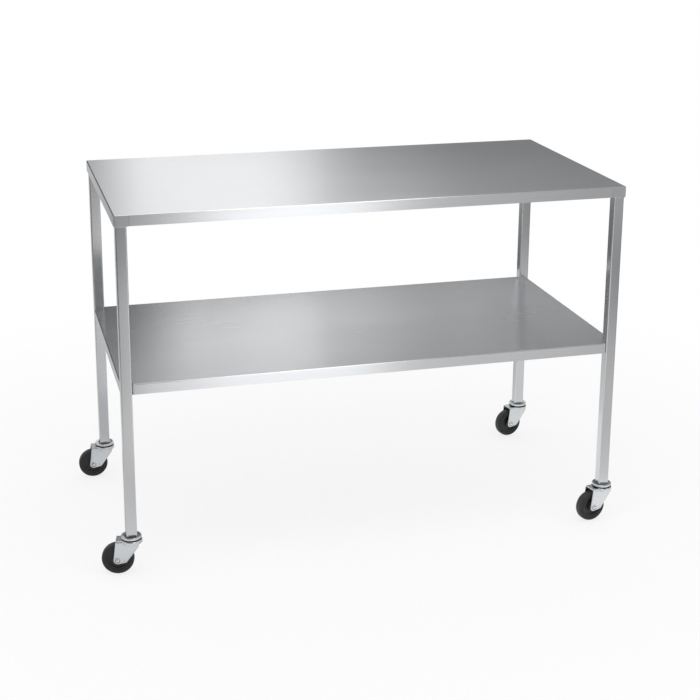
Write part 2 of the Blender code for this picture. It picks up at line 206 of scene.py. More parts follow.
def between(stops, value):
    # eased from stop to stop; the last stop's value past the ends
    for (a, low), (b, high) in zip(stops, stops[1:]):
        if a <= value <= b:
            share = (value - a) / (b - a)
            return low + (high - low) * share * share * (3 - 2 * share)
    return stops[-1][1]


def mix(first, second, share):
    return first + (second - first) * share


def markVerts(bm, name, rule):
    layer = bm.verts.layers.float.new(name)
    for vert in bm.verts:
        vert[layer] = rule(vert.co)


# node helpers

def addNode(tree, kind, inputs=None, **settings):
    node = tree.nodes.new(kind)
    for name, value in settings.items():
        setattr(node, name, value)
    for name, value in (inputs or {}).items():
        socket = node.inputs[name]
        if isinstance(value, bpy.types.NodeSocket):
            tree.links.new(value, socket)
        else:
            socket.default_value = value
    return node


def maths(tree, operation, *values, clamp=False):
    settings = {"operation": operation, "use_clamp": clamp}
    return addNode(tree, "ShaderNodeMath", dict(enumerate(values)), **settings).outputs[0]


def vectorMaths(tree, operation, *values):
    inputs = dict(enumerate(values))
    return addNode(tree, "ShaderNodeVectorMath", inputs, operation=operation).outputs[0]


def blended(tree, first, second, share):
    kept = maths(tree, "MULTIPLY", first, share)
    rest = maths(tree, "MULTIPLY", second, 1 - share)
    return maths(tree, "ADD", kept, rest)


def scaleColour(tree, colour, tone):
    inputs = {0: colour, "Scale": tone}
    return addNode(tree, "ShaderNodeVectorMath", inputs, operation="SCALE").outputs[0]


def mixColour(tree, factor, first, second):
    inputs = {0: factor, 6: first, 7: second}
    return addNode(tree, "ShaderNodeMix", inputs, data_type="RGBA").outputs[2]


def noise(tree, vector, scale, detail):
    inputs = {"Vector": vector, "Scale": scale, "Detail": detail}
    return addNode(tree, "ShaderNodeTexNoise", inputs).outputs[0]


def meshMark(tree, name, output):
    return addNode(tree, "ShaderNodeAttribute", attribute_name=name).outputs[output]


def objectPlace(tree):
    return addNode(tree, "ShaderNodeTexCoord").outputs["Object"]


def bumpNormal(tree, look, height):
    inputs = {"Strength": look["bump"], "Distance": look["depth"], "Height": height}
    return addNode(tree, "ShaderNodeBump", inputs).outputs[0]


def runGroup(tree, group, look, names, **links):
    # the group's sockets bear the look's own names, with a capital
    inputs = {name.capitalize(): look[name] for name in names}
    return addNode(tree, "ShaderNodeGroup", {**inputs, **links}, node_tree=group).outputs


def newGroup(name, inputs, outputs):
    tree = bpy.data.node_groups.new(name, "ShaderNodeTree")
    for side, sockets in (("INPUT", inputs), ("OUTPUT", outputs)):
        for label, kind in sockets.items():
            tree.interface.new_socket(label, in_out=side, socket_type="NodeSocket" + kind)
    given = addNode(tree, "NodeGroupInput").outputs
    result = addNode(tree, "NodeGroupOutput").inputs
    return tree, given, result


def newMaterial(name):
    material = bpy.data.materials.new(name)
    material.use_nodes = True
    tree = material.node_tree
    return material, tree, tree.nodes["Principled BSDF"]


def wire(tree, sockets, links):
    for name, source in links.items():
        tree.links.new(source, sockets[name])


# shared effects

skinOutputs = {"Colour": "Color", "Roughness": "Float", "Height": "Float"}
grainLayers = {"fine": ((9, 2400, 0), 3), "broad": ((1.6, 210, 0), 2), "cloud": ((3, 7, 0), 3)}
grainShape = dict(fineShare=0.55, polish=-0.4)
mottleShape = dict(cloudShare=0.7, gritScale=14.0)
weldLook = dict(inFromCorner=0.034, width=0.0030, ragged=0.006, raggedScale=170,
    skirt=(0.0018, 0.0035), lineColour=(0.585, 0.597, 0.611, 1),
    patchColour=(0.707, 0.721, 0.738, 1))


def makeBrushedGrain():
    inputs = {"Along": "Vector", "Colour": "Color", "Streak": "Float", "Roughness": "Float",
              "Smudge": "Float"}
    tree, given, result = newGroup("brushedGrain", inputs, skinOutputs)
    layers = {}
    for name, (stretch, detail) in grainLayers.items():
        drawn = vectorMaths(tree, "MULTIPLY", given["Along"], stretch)
        layers[name] = noise(tree, drawn, 1, detail)
    lines = blended(tree, layers["fine"], layers["broad"], grainShape["fineShare"])
    swing = maths(tree, "SUBTRACT", lines, 0.5)
    tone = maths(tree, "MULTIPLY_ADD", swing, given["Streak"], 1.0)
    uneven = maths(tree, "SUBTRACT", layers["cloud"], 0.5)
    wiped = maths(tree, "MULTIPLY_ADD", uneven, given["Smudge"], given["Roughness"])
    polish = maths(tree, "MULTIPLY", given["Streak"], grainShape["polish"])
    wire(tree, result, {"Colour": scaleColour(tree, given["Colour"], tone), "Height": lines,
                        "Roughness": maths(tree, "MULTIPLY_ADD", swing, polish, wiped)})
    return tree


def makeMottle():
    # uneven plating, moulding skin or dust: cloudy colour, roughness and height
    inputs = {"Coordinates": "Vector", "Colour": "Color", "Scale": "Float", "Amount": "Float",
              "Roughness": "Float", "Spread": "Float"}
    tree, given, result = newGroup("mottle", inputs, skinOutputs)
    cloud = noise(tree, given["Coordinates"], given["Scale"], 4)
    gritScale = maths(tree, "MULTIPLY", given["Scale"], mottleShape["gritScale"])
    grit = noise(tree, given["Coordinates"], gritScale, 2)
    both = blended(tree, cloud, grit, mottleShape["cloudShare"])
    swing = maths(tree, "SUBTRACT", both, 0.5)
    tone = maths(tree, "MULTIPLY_ADD", swing, given["Amount"], 1.0)
    rough = maths(tree, "MULTIPLY_ADD", swing, given["Spread"], given["Roughness"])
    wire(tree, result, {"Colour": scaleColour(tree, given["Colour"], tone), "Roughness": rough,
                        "Height": grit})
    return tree


def makeWeldMark():
    # ground welds beside the legs: a ragged upright line, and the corner patch outside it
    inputs = {"Coordinates": "Vector", "Seam": "Vector", "Width": "Float", "Surface": "Float"}
    tree, given, result = newGroup("weldMark", inputs, {"Line": "Float", "Patch": "Float"})
    uneven = noise(tree, given["Coordinates"], weldLook["raggedScale"], 3)
    ragged = maths(tree, "MULTIPLY", maths(tree, "SUBTRACT", uneven, 0.5), weldLook["ragged"])
    place = vectorMaths(tree, "SUBTRACT", given["Coordinates"], tuple(tableCentre))
    past = vectorMaths(tree, "SUBTRACT", vectorMaths(tree, "ABSOLUTE", place), given["Seam"])
    parts = addNode(tree, "ShaderNodeSeparateXYZ", {0: past}).outputs
    height = addNode(tree, "ShaderNodeSeparateXYZ", {0: given["Coordinates"]}).outputs[2]
    drop = maths(tree, "SUBTRACT", given["Surface"], height)
    start, full = weldLook["skirt"]
    ramp = {0: drop, 1: start, 2: full, 3: 0.0, 4: 1.0}
    skirt = addNode(tree, "ShaderNodeMapRange", ramp).outputs[0]
    lines = []
    for axis in (0, 1):
        away = maths(tree, "ABSOLUTE", maths(tree, "ADD", parts[axis], ragged))
        share = maths(tree, "DIVIDE", away, given["Width"])
        lines.append(maths(tree, "SUBTRACT", 1.0, share, clamp=True))
    line = maths(tree, "MULTIPLY", maths(tree, "MAXIMUM", *lines), skirt)
    outside = [maths(tree, "GREATER_THAN", parts[axis], 0.0) for axis in (0, 1)]
    patch = maths(tree, "MULTIPLY", maths(tree, "MULTIPLY", *outside), skirt)
    wire(tree, result, {"Line": line, "Patch": patch})
    return tree


brushedGrain = makeBrushedGrain()
mottle = makeMottle()
weldMark = makeWeldMark()
print("effects: brushed grain, mottle, weld mark")


# finishes

steelLook = dict(colour=(0.743, 0.758, 0.776, 1), streak=0.16, roughness=0.32, smudge=0.05,
    stretch=0.88, stretchTurn=0.25, bump=0.02, depth=0.0002)
topLook = dict(steelLook, bendShadeColour=(0.22, 0.23, 0.235, 1))
# the shelf is the top's steel painted lighter: painted light against the shade the top casts on it
shelfLook = dict(topLook, colour=(0.795, 0.811, 0.830, 1), roughness=0.26)
# the legs are the sheet's steel painted darker: painted shade
tubeLook = dict(steelLook, colour=(0.692, 0.704, 0.718, 1), roughness=0.18, stretch=0.5)


def steelShader(tree, shader, along, look):
    names = ("colour", "streak", "roughness", "smudge")
    grain = runGroup(tree, brushedGrain, look, names, Along=along)
    wire(tree, shader.inputs, {"Base Color": grain["Colour"], "Roughness": grain["Roughness"],
                               "Normal": bumpNormal(tree, look, grain["Height"])})
    shader.inputs["Metallic"].default_value = 1.0
    return grain["Colour"]


def brushedSteel(name, look, welded=False):
    # satin sheet or tube; its own UV map carries the direction of the brushing
    material, tree, shader = newMaterial(name)
    along = addNode(tree, "ShaderNodeUVMap", uv_map="UVMap").outputs[0]
    colour = steelShader(tree, shader, along, look)
    tangent = addNode(tree, "ShaderNodeTangent", direction_type="UV_MAP", uv_map="UVMap")
    shader.inputs["Anisotropic"].default_value = look["stretch"]
    shader.inputs["Anisotropic Rotation"].default_value = look["stretchTurn"]
    # painted shade along the end folds
    if "bendShadeColour" in look:
        colour = mixColour(tree, meshMark(tree, "bend", "Fac"), colour, look["bendShadeColour"])
    if welded:
        seam = (topHigh - topLow) / 2 - Vector((1, 1, 0)) * weldLook["inFromCorner"]
        marks = runGroup(tree, weldMark, weldLook, ("width",), Coordinates=objectPlace(tree),
                         Seam=(seam.x, seam.y, 0), Surface=topHigh.z)
        colour = mixColour(tree, marks["Patch"], colour, weldLook["patchColour"])
        colour = mixColour(tree, marks["Line"], colour, weldLook["lineColour"])
    wire(tree, shader.inputs, {"Base Color": colour, "Tangent": tangent.outputs[0]})
    return material


def plainSteel(name):
    # the same sheet on pieces that show little: brushed along X
    material, tree, shader = newMaterial(name)
    parts = addNode(tree, "ShaderNodeSeparateXYZ", {0: objectPlace(tree)}).outputs
    across = maths(tree, "ADD", parts[1], parts[2])
    along = addNode(tree, "ShaderNodeCombineXYZ", {0: parts[0], 1: across}).outputs[0]
    steelShader(tree, shader, along, steelLook)
    return material


def mottledMaterial(name, look):
    material, tree, shader = newMaterial(name)
    here = objectPlace(tree)
    names = ("colour", "scale", "amount", "roughness", "spread")
    skin = runGroup(tree, mottle, look, names, Coordinates=here)
    colour = skin["Colour"]
    if "mark" in look:
        # painted shade on the zinc, or dust on the tyre's tread, laid on by a mask that the mesh
        # carries
        patchy = noise(tree, here, look["markScale"], 4)
        broken = maths(tree, "MULTIPLY", meshMark(tree, look["mark"], "Fac"), patchy)
        share = maths(tree, "MULTIPLY", broken, look["markAmount"], clamp=True)
        colour = mixColour(tree, share, colour, look["markColour"])
    wire(tree, shader.inputs, {"Base Color": colour, "Roughness": skin["Roughness"],
                               "Normal": bumpNormal(tree, look, skin["Height"])})
    shader.inputs["Metallic"].default_value = look["metallic"]
    shader.inputs["Specular IOR Level"].default_value = look.get("gloss", 0.5)
    return material


# zinc: its mark colour is painted shade, for the gap under the collar, round the leg's foot and in the
# bolt's groove
zincLook = dict(colour=(0.745, 0.77, 0.79, 1), scale=70.0, amount=0.16, roughness=0.24, spread=0.12,
    bump=0.05, depth=0.0003, metallic=1.0, mark="paintedShade", markScale=120.0, markAmount=1.7,
    markColour=(0.10, 0.10, 0.10, 1))
# race, balls, inserts and bushes: painted near black, standing in for the shade of the gap and bores
# they sit in
bearingLook = dict(colour=(0.045, 0.045, 0.047, 1), scale=160.0, amount=0.5, roughness=0.42,
    spread=0.2, bump=0.08, depth=0.0003, metallic=1.0)
ballLook = dict(colour=(0.06, 0.06, 0.062, 1), scale=400.0, amount=0.1, roughness=0.16, spread=0.05,
    bump=0.01, depth=0.0001, metallic=1.0)
beadLook = dict(colour=(0.61, 0.622, 0.636, 1), scale=220.0, amount=0.3, roughness=0.34,
    spread=0.15, bump=0.05, depth=0.0002, metallic=1.0)
rubberLook = dict(colour=(0.026, 0.027, 0.028, 1), scale=90.0, amount=0.5, roughness=0.52,
    spread=0.16, bump=0.12, depth=0.0004, metallic=0.0, gloss=0.32, mark="tread", markScale=220.0,
    markAmount=0.7, markColour=(0.075, 0.073, 0.07, 1))
coreLook = dict(colour=(0.018, 0.018, 0.019, 1), scale=130.0, amount=0.3, roughness=0.40,
    spread=0.12, bump=0.06, depth=0.0003, metallic=0.0)

topSteel = brushedSteel("topSteel", topLook, welded=True)
shelfSteel = brushedSteel("shelfSteel", shelfLook)
tubeSteel = brushedSteel("tubeSteel", tubeLook)
hiddenSteel = plainSteel("hiddenSteel")
groundWeld = mottledMaterial("groundWeld", beadLook)
brightZinc = mottledMaterial("brightZinc", zincLook)
bearingSteel = mottledMaterial("bearingSteel", bearingLook)
ballSteel = mottledMaterial("ballSteel", ballLook)
blackRubber = mottledMaterial("blackRubber", rubberLook)
blackCore = mottledMaterial("blackCore", coreLook)
print("finishes:", len(bpy.data.materials), "materials")


# folded top and shelf

panShape = dict(sheet=0.0015, fold=0.0025, corner=0.0042, foldSteps=6, cornerSteps=6,
    bendRise=((-1, 0), (0, 0), (0.25, 1), (0.97, 1), (1, 0)))
shelfShape = dict(notch=0.0257, notchCorner=0.0028)


def bendShadeMask(co, high, end):
    # painted shade: a dark line along the two end folds
    fold = panShape["fold"]
    if abs(co.x - tableCentre.x) <= end - fold:
        return 0.0
    return between(panShape["bendRise"], (co.z - high + fold) / fold)


def foldedPan(outlineAt, high, low):
    # rings run from under the sheet, down inside the skirt, and up outside to the surface
    fold, sheet, steps = panShape["fold"], panShape["sheet"], panShape["foldSteps"]
    inner, base = fold - sheet, high - fold
    turns = [pi / 2 * i / steps for i in range(steps + 1)]
    levels = [(fold - inner * sin(t), base + inner * cos(t)) for t in turns]
    levels += [(sheet, low), (0, low)]
    levels += [(fold - fold * cos(t), base + fold * sin(t)) for t in turns]
    bm = loftRings([ringAt(outlineAt(inset), z, tableCentre.xy) for inset, z in levels])
    layUv(bm, grainUv)
    end = max(abs(point[0]) for point in outlineAt(0))
    markVerts(bm, "bend", lambda co: bendShadeMask(co, high, end))
    return bm


def topOutline(inset):
    size = topHigh - topLow
    shape = rectangle(size.x - 2 * inset, size.y - 2 * inset)
    return softOutline(shape, panShape["corner"] - inset, 0, panShape["cornerSteps"])


def shelfOutline(inset):
    size = shelfHigh - shelfLow
    shape = notchedRectangle(size.x - 2 * inset, size.y - 2 * inset, shelfShape["notch"])
    inward = shelfShape["notchCorner"] + inset
    return softOutline(shape, panShape["corner"] - inset, inward, panShape["cornerSteps"])


topPan = foldedPan(topOutline, topHigh.z, topLow.z)
steelPiece("topSheet", topPan, topSteel, "top_sheet")
shelfPan = foldedPan(shelfOutline, shelfHigh.z, shelfLow.z)
steelPiece("shelfSheet", shelfPan, shelfSteel, "shelf_sheet")
print("sheets: top and shelf folded")


# square legs

legShape = dict(wall=0.0015, corner=0.0025, steps=5)


def squareTube(low, high):
    wall, corner, steps = legShape["wall"], legShape["corner"], legShape["steps"]
    size = high.x - low.x
    inside = size - 2 * wall
    middle = ((low.x + high.x) / 2, (low.y + high.y) / 2)
    outer = softOutline(rectangle(size, size), corner, 0, steps)
    inner = softOutline(rectangle(inside, inside), corner - wall, 0, steps)
    levels = ((outer, low.z), (outer, high.z), (inner, high.z), (inner, low.z))
    bm = loftRings([ringAt(outline, z, middle) for outline, z in levels], closed=True)
    layUv(bm, tubeUv)
    return bm


keptFinish = {"top_stiffener": hiddenSteel, "shelf_stiffener": hiddenSteel}
for corner in corners:
    node = "leg_" + corner
    steelPiece("tube_" + corner, squareTube(*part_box(node)), tubeSteel, node)
    keptFinish["leg_socket_" + corner] = hiddenSteel
    keptFinish["caster_insert_" + corner] = bearingSteel
    keptFinish["axle_bush_" + corner] = bearingSteel
for node, finish in keptFinish.items():
    frame["nodes"][node].data.materials[0] = finish     # solids that stay in view
print("legs:", len(corners), "tubes;", len(keptFinish), "solids finished")


# weld beads and swivel balls, laid along paths by geometry nodes

def newBeadTree():
    tree = bpy.data.node_groups.new("beadRow", "GeometryNodeTree")
    tree.is_modifier = True
    tree.interface.new_socket("Geometry", in_out="OUTPUT", socket_type="NodeSocketGeometry")
    names = {"Geometry": "Geometry", "Spacing": "Float", "Radius": "Float", "Flatness": "Float",
             "Jitter": "Float", "Seed": "Int", "Finish": "Material"}
    sockets = {}
    for label, kind in names.items():
        made = tree.interface.new_socket(label, in_out="INPUT", socket_type="NodeSocket" + kind)
        sockets[label] = made.identifier
    given = addNode(tree, "NodeGroupInput").outputs
    result = addNode(tree, "NodeGroupOutput").inputs
    seams = addNode(tree, "GeometryNodeMeshToCurve", {0: given["Geometry"]}).outputs[0]
    spread = {"Curve": seams, "Length": given["Spacing"]}
    steps = addNode(tree, "GeometryNodeResampleCurve", spread, mode="LENGTH").outputs[0]
    ball = {"Radius": 1.0, "Subdivisions": 2}
    bead = addNode(tree, "GeometryNodeMeshIcoSphere", ball).outputs[0]
    least = maths(tree, "SUBTRACT", 1.0, given["Jitter"])
    most = maths(tree, "ADD", 1.0, given["Jitter"])
    limits = {2: least, 3: most, "Seed": given["Seed"]}
    vary = addNode(tree, "FunctionNodeRandomValue", limits, data_type="FLOAT").outputs[1]
    size = maths(tree, "MULTIPLY", vary, given["Radius"])
    thick = maths(tree, "MULTIPLY", size, given["Flatness"])
    scale = addNode(tree, "ShaderNodeCombineXYZ", {0: size, 1: size, 2: thick}).outputs[0]
    row = {"Points": steps, "Instance": bead, "Scale": scale}
    placed = addNode(tree, "GeometryNodeInstanceOnPoints", row).outputs[0]
    solid = addNode(tree, "GeometryNodeRealizeInstances", {0: placed}).outputs[0]
    smooth = addNode(tree, "GeometryNodeSetShadeSmooth", {"Geometry": solid}).outputs[0]
    finish = {"Geometry": smooth, "Material": given["Finish"]}
    tree.links.new(addNode(tree, "GeometryNodeSetMaterial", finish).outputs[0], result[0])
    return tree, sockets


beadTree, beadSockets = newBeadTree()


def beadPiece(name, lines, look):
    bm = bmesh.new()
    for points in lines:
        verts = [bm.verts.new(point) for point in points]
        for pair in zip(verts, verts[1:]):
            bm.edges.new(pair)
    piece = makePiece(name, bm, None)
    modifier = piece.modifiers.new("Nodes", "NODES")
    modifier.node_group = beadTree
    for label, value in look.items():
        modifier[beadSockets[label]] = value
    return applyModifiers(piece)


seamBead = {"Spacing": 0.0006, "Radius": 0.0011, "Flatness": 1.0, "Jitter": 0.05, "Seed": 4,
            "Finish": groundWeld}
cornerSeam = dict(sunk=0.00092, above=0.0016, below=0.0042)
footSeam = dict(gap=0.00015, below=0.0002, short=0.0012)
spotWeld = {"Spacing": 0.085, "Radius": 0.0032, "Flatness": 0.12, "Jitter": 0.12, "Seed": 9,
            "Finish": groundWeld}
spotRow = dict(outFromMiddle=0.0295, short=0.025, under=0.0033)


def cornerSeams():
    half = (topHigh - topLow) / 2
    inset, sunk = weldLook["inFromCorner"], cornerSeam["sunk"]
    low, high = topLow.z + cornerSeam["above"], topHigh.z - cornerSeam["below"]
    lines = []
    for sx, sy in quadrants:
        for x, y in ((half.x - inset, half.y - sunk), (half.x - sunk, half.y - inset)):
            foot = tableCentre + Vector((sx * x, sy * y, low))
            lines.append((foot, (foot.x, foot.y, high)))
    return lines


def shelfSeams():
    # under the shelf, where its notches meet the inner faces of the legs
    half = (shelfHigh - shelfLow) / 2
    inner = Vector((half.x, half.y)) - Vector((1, 1)) * (shelfShape["notch"] - footSeam["gap"])
    height = shelfLow.z + footSeam["below"]
    ends = ((inner.x, half.y - footSeam["short"]), (half.x - footSeam["short"], inner.y))
    lines = []
    for sx, sy in quadrants:
        bend = tableCentre + Vector((sx * inner.x, sy * inner.y, height))
        for x, y in ends:
            lines.append((bend, tableCentre + Vector((sx * x, sy * y, height))))
    return lines


def spotRows():
    lines = []
    for node, surface in (("top_stiffener", topHigh.z), ("shelf_stiffener", shelfHigh.z)):
        low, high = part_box(node)
        z = surface - spotRow["under"]
        for side in (-1, 1):
            y = tableCentre.y + side * spotRow["outFromMiddle"]
            lines.append(((low.x + spotRow["short"], y, z), (high.x - spotRow["short"], y, z)))
    return lines


dress(beadPiece("cornerWelds", cornerSeams(), seamBead), "table", "brushed_steel")
dress(beadPiece("shelfWelds", shelfSeams(), seamBead), "table", "brushed_steel")
dress(beadPiece("spotWelds", spotRows(), spotWeld), "table", "brushed_steel")
print("welds: corner seams, shelf seams, spot welds")


# casters, made once in their own frame: X ahead of the swivel, Y along the axle,
# origin on the floor under the kingpin

firstAxle = Vector(joints["spin_front_left"]["pos_m"])
firstSwivel = Vector(joints["swivel_front_left"]["pos_m"])
trail = (firstAxle - firstSwivel).xy.length
axleHeight = firstAxle.z
raceLow, raceHigh = (corner.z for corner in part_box("ball_race_front_left"))
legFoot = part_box("leg_front_left")[0].z
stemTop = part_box("caster_stem_front_left")[1].z
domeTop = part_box("fork_front_left")[1].z


def casterMatrix(corner):
    swivel = Vector(joints["swivel_" + corner]["pos_m"])
    across = Vector(joints["spin_" + corner]["axis"]).normalized()
    up = Vector((0, 0, 1))
    matrix = Matrix((across.cross(up), across, up)).transposed().to_4x4()
    matrix.translation = (swivel.x, swivel.y, 0)
    return matrix


def rod(radius, low, high, steps):
    return lathe([(0, low), (radius, low), (radius, high), (0, high)], steps, closed=False)


def layAlongAxle(bm):
    bm.transform(Matrix.Translation((-trail, 0, axleHeight)) @ Matrix.Rotation(pi / 2, 4, "X"))
    return bm


def mirrored(side):
    return side + [(radius, -height) for radius, height in reversed(side)]


def booleanMesh(base, steps):
    body = makePiece("blank", base, None)
    tools = []
    for operation, bm in steps:
        tool = makePiece("tool", bm, None)
        tools.append(tool)
        cut = body.modifiers.new("Cut", "BOOLEAN")
        cut.operation = operation
        cut.solver = "EXACT"
        cut.object = tool
    applyModifiers(body)
    for tool in tools:
        bpy.data.objects.remove(tool, do_unlink=True)
    return body


forkShape = dict(sheet=0.0028, eye=0.0097, rear=0.0036, heelAhead=0.0225, heelDrop=0.0066,
    heelRadius=0.005, eyeTurns=(172, 278, 16), heelTurns=(278, 324, 6), waistAhead=0.0178,
    waistDrop=0.0115, cheekOuter=0.0180, shoulder=0.0045, edgeSteps=6, domeRadius=0.0255,
    domeRise=0.0006, domeSkirt=0.0055, domeEdge=0.0026, domeSteps=96, pinBore=0.0059,
    axleBore=0.0043, boreSteps=48, dimpleAhead=0.0150, dimpleDrop=0.0008, dimpleRadius=0.0050,
    dimpleDepth=0.0010, dimpleSteps=(24, 16), roll=0.0045, rollDepth=0.0011, paintedShadeDepth=0.0008,
    gapShade=((0, 1), (0.0241, 1), (0.0250, 0)), voxel=0.00055, softening=6)
crownTop = domeTop - forkShape["domeRise"]
crownLow = crownTop - forkShape["sheet"]
domeRim = crownLow - forkShape["domeSkirt"]
cheekFront = sqrt(forkShape["domeRadius"] ** 2 - forkShape["cheekOuter"] ** 2)


def cheekOutline():
    s = forkShape
    heelX = -trail + s["heelAhead"] - s["heelRadius"]
    heelZ = axleHeight - s["heelDrop"] + s["heelRadius"]
    outline = [(-trail - s["rear"], crownTop)]
    outline += arcPoints((-trail, axleHeight), s["eye"], *s["eyeTurns"])
    outline += arcPoints((heelX, heelZ), s["heelRadius"], *s["heelTurns"])
    outline += [(s["waistAhead"], crownLow - s["waistDrop"])]
    return outline + [(cheekFront, crownLow), (cheekFront, crownTop)]


def fromOutline(point, outline):
    gaps = []
    for start, end in zip(outline, outline[1:] + outline[:1]):
        along = end - start
        share = min(max((point - start).dot(along) / along.length_squared, 0), 1)
        gaps.append((point - start - along * share).length)
    return min(gaps)


def rollCheeks(fork):
    # the pressed cheeks curl in a little along their edges
    s = forkShape
    outline = [Vector(point) for point in cheekOutline()]
    inner = s["cheekOuter"] - s["sheet"]
    for vert in fork.data.vertices:
        x, y, z = vert.co
        thick = min(max((abs(y) - inner) / s["sheet"], 0), 1)
        fade = min(max((domeRim - z) / s["domeSkirt"], 0), 1)
        if thick * fade == 0:
            continue
        share = max(1 - fromOutline(Vector((x, z)), outline) / s["roll"], 0)
        vert.co.y = y - (1 if y > 0 else -1) * s["rollDepth"] * share * share * thick * fade


def paintCrownShade(fork):
    # painted shade in the gap under the collar: the dome's top is darkened where the collar covers it
    s = forkShape
    paintedShade = fork.data.attributes.new("paintedShade", "FLOAT", "POINT")
    for vert, mark in zip(fork.data.vertices, paintedShade.data):
        high = vert.co.z > domeTop - s["paintedShadeDepth"]
        mark.value = between(s["gapShade"], vert.co.xy.length) if high else 0.0


def forkPiece():
    # pressed fork: rounded shoulders, hollow dome, wheel gap, bores and the dimple beside the axle
    s = forkShape
    outer, inner, edge = s["cheekOuter"], s["cheekOuter"] - s["sheet"], s["domeEdge"]
    block = prism(cheekOutline(), -outer, outer)
    shoulders = [side for side in block.edges
                 if all(abs(vert.co.z - crownTop) < tiny for vert in side.verts)
                 and abs(side.verts[0].co.y - side.verts[1].co.y) < tiny]
    bmesh.ops.bevel(block, geom=shoulders, offset=s["shoulder"], segments=s["edgeSteps"],
                    profile=0.5, affect="EDGES")
    wall = s["domeRadius"] - s["sheet"]
    hollow = crownLow + s["domeRise"]
    cup = [(0, hollow), (wall, hollow), (wall, domeRim), (s["domeRadius"], domeRim)]
    cup += arcPoints((s["domeRadius"] - edge, domeTop - edge), edge, 0, 90, s["edgeSteps"])
    dome = lathe(cup + [(0, domeTop)], s["domeSteps"], closed=False)
    ahead = cheekFront + seatGap
    behind = -trail - s["eye"] - s["rear"]
    gap = prism([(behind, 0), (ahead, 0), (ahead, crownLow), (behind, crownLow)], -inner, inner)
    pin = rod(s["pinBore"], 0, domeTop + s["sheet"], s["boreSteps"])
    eye = layAlongAxle(rod(s["axleBore"], -2 * outer, 2 * outer, s["boreSteps"]))
    cuts = [("UNION", dome), ("DIFFERENCE", gap), ("DIFFERENCE", pin), ("DIFFERENCE", eye)]
    around, upward = s["dimpleSteps"]
    out = outer + s["dimpleRadius"] - s["dimpleDepth"]
    for side in (-1, 1):
        dent = bmesh.new()
        bmesh.ops.create_uvsphere(dent, u_segments=around, v_segments=upward,
                                  radius=s["dimpleRadius"])
        centre = (s["dimpleAhead"] - trail, side * out, axleHeight - s["dimpleDrop"])
        bmesh.ops.translate(dent, verts=dent.verts, vec=centre)
        cuts.append(("DIFFERENCE", dent))
    fork = booleanMesh(block, cuts)
    even = fork.modifiers.new("Even", "REMESH")
    even.mode = "VOXEL"
    even.voxel_size = s["voxel"]
    soft = fork.modifiers.new("Soft", "SMOOTH")
    soft.iterations = s["softening"]
    applyModifiers(fork)
    rollCheeks(fork)
    paintCrownShade(fork)
    fork.data.shade_smooth()
    fork.data.materials.clear()
    fork.data.materials.append(brightZinc)
    print("fork:", len(fork.data.polygons), "faces")
    return fork


stemShape = dict(pin=0.0055, headRadius=0.0085, headHeight=0.0035, round=0.001, collar=0.0241,
    rim=0.0016, lowRim=0.6, dish=0.0003, dishRadius=0.0208, dishEdge=0.0006, dishRing=0.0165,
    steps=72, paintedShadeDepth=0.0005, paintedShade=((0, 0.9), (0.0150, 0.8), (0.0200, 0.25), (0.0215, 0.0)))


def stemBlank():
    s = stemShape
    headTop = crownLow - seatGap
    headLow = headTop - s["headHeight"]
    low, high = raceHigh + seatGap, legFoot - seatGap
    collar, rim, lowRim, e = s["collar"], s["rim"], s["rim"] * s["lowRim"], s["round"]
    floor = high - s["dish"]
    profile = [(0, headLow)]
    profile += arcPoints((s["headRadius"] - e, headLow + e), e, -90, 0, 4)
    profile += [(s["headRadius"], headTop), (s["pin"], headTop), (s["pin"], low)]
    profile += arcPoints((collar - lowRim, low + lowRim), lowRim, -90, 0, 4)
    profile += arcPoints((collar - rim, high - rim), rim, 0, 90, 6)
    profile += [(s["dishRadius"], high), (s["dishRadius"] - s["dishEdge"], floor)]
    profile += [(s["dishRing"], floor), (s["pin"], floor)]
    profile += [(s["pin"], stemTop - e), (s["pin"] - e, stemTop), (0, stemTop)]
    bm = lathe(profile, s["steps"], closed=False)
    # painted shade: all below the collar's underside band is dark, and above it the stem darkens toward
    # the middle, under and round the leg's foot
    under = low + s["paintedShadeDepth"]
    markVerts(bm, "paintedShade", lambda co: 1.0 if co.z < under else between(s["paintedShade"], co.xy.length))
    return bm


raceShape = dict(inner=0.0125, outer=0.0198, steps=64)


def raceBlank():
    inner, outer = raceShape["inner"], raceShape["outer"]
    profile = [(inner, raceLow), (outer, raceLow), (outer, raceHigh), (inner, raceHigh)]
    return lathe(profile, raceShape["steps"])


ballRing = dict(radius=0.0206, points=40)
swivelBall = {"Spacing": 0.0032, "Radius": 0.00092, "Flatness": 1.0, "Jitter": 0.0, "Seed": 1,
              "Finish": ballSteel}


def ballPath():
    radius, points = ballRing["radius"], ballRing["points"]
    turns = [tau * i / points for i in range(points)]
    return [(radius * cos(t), radius * sin(t), (raceLow + raceHigh) / 2) for t in turns]


boltShape = dict(shank=0.004, chamfer=0.0006, flange=0.0069, flangeHeight=0.0010,
    flangeRound=0.0005, groove=0.0054, grooveSlope=0.0003, grooveDepth=0.0006, cap=0.0048,
    capHeight=0.0018, capTurns=(15, 30, 45, 60, 75), tail=0.0015, markWithin=0.0002, steps=40)


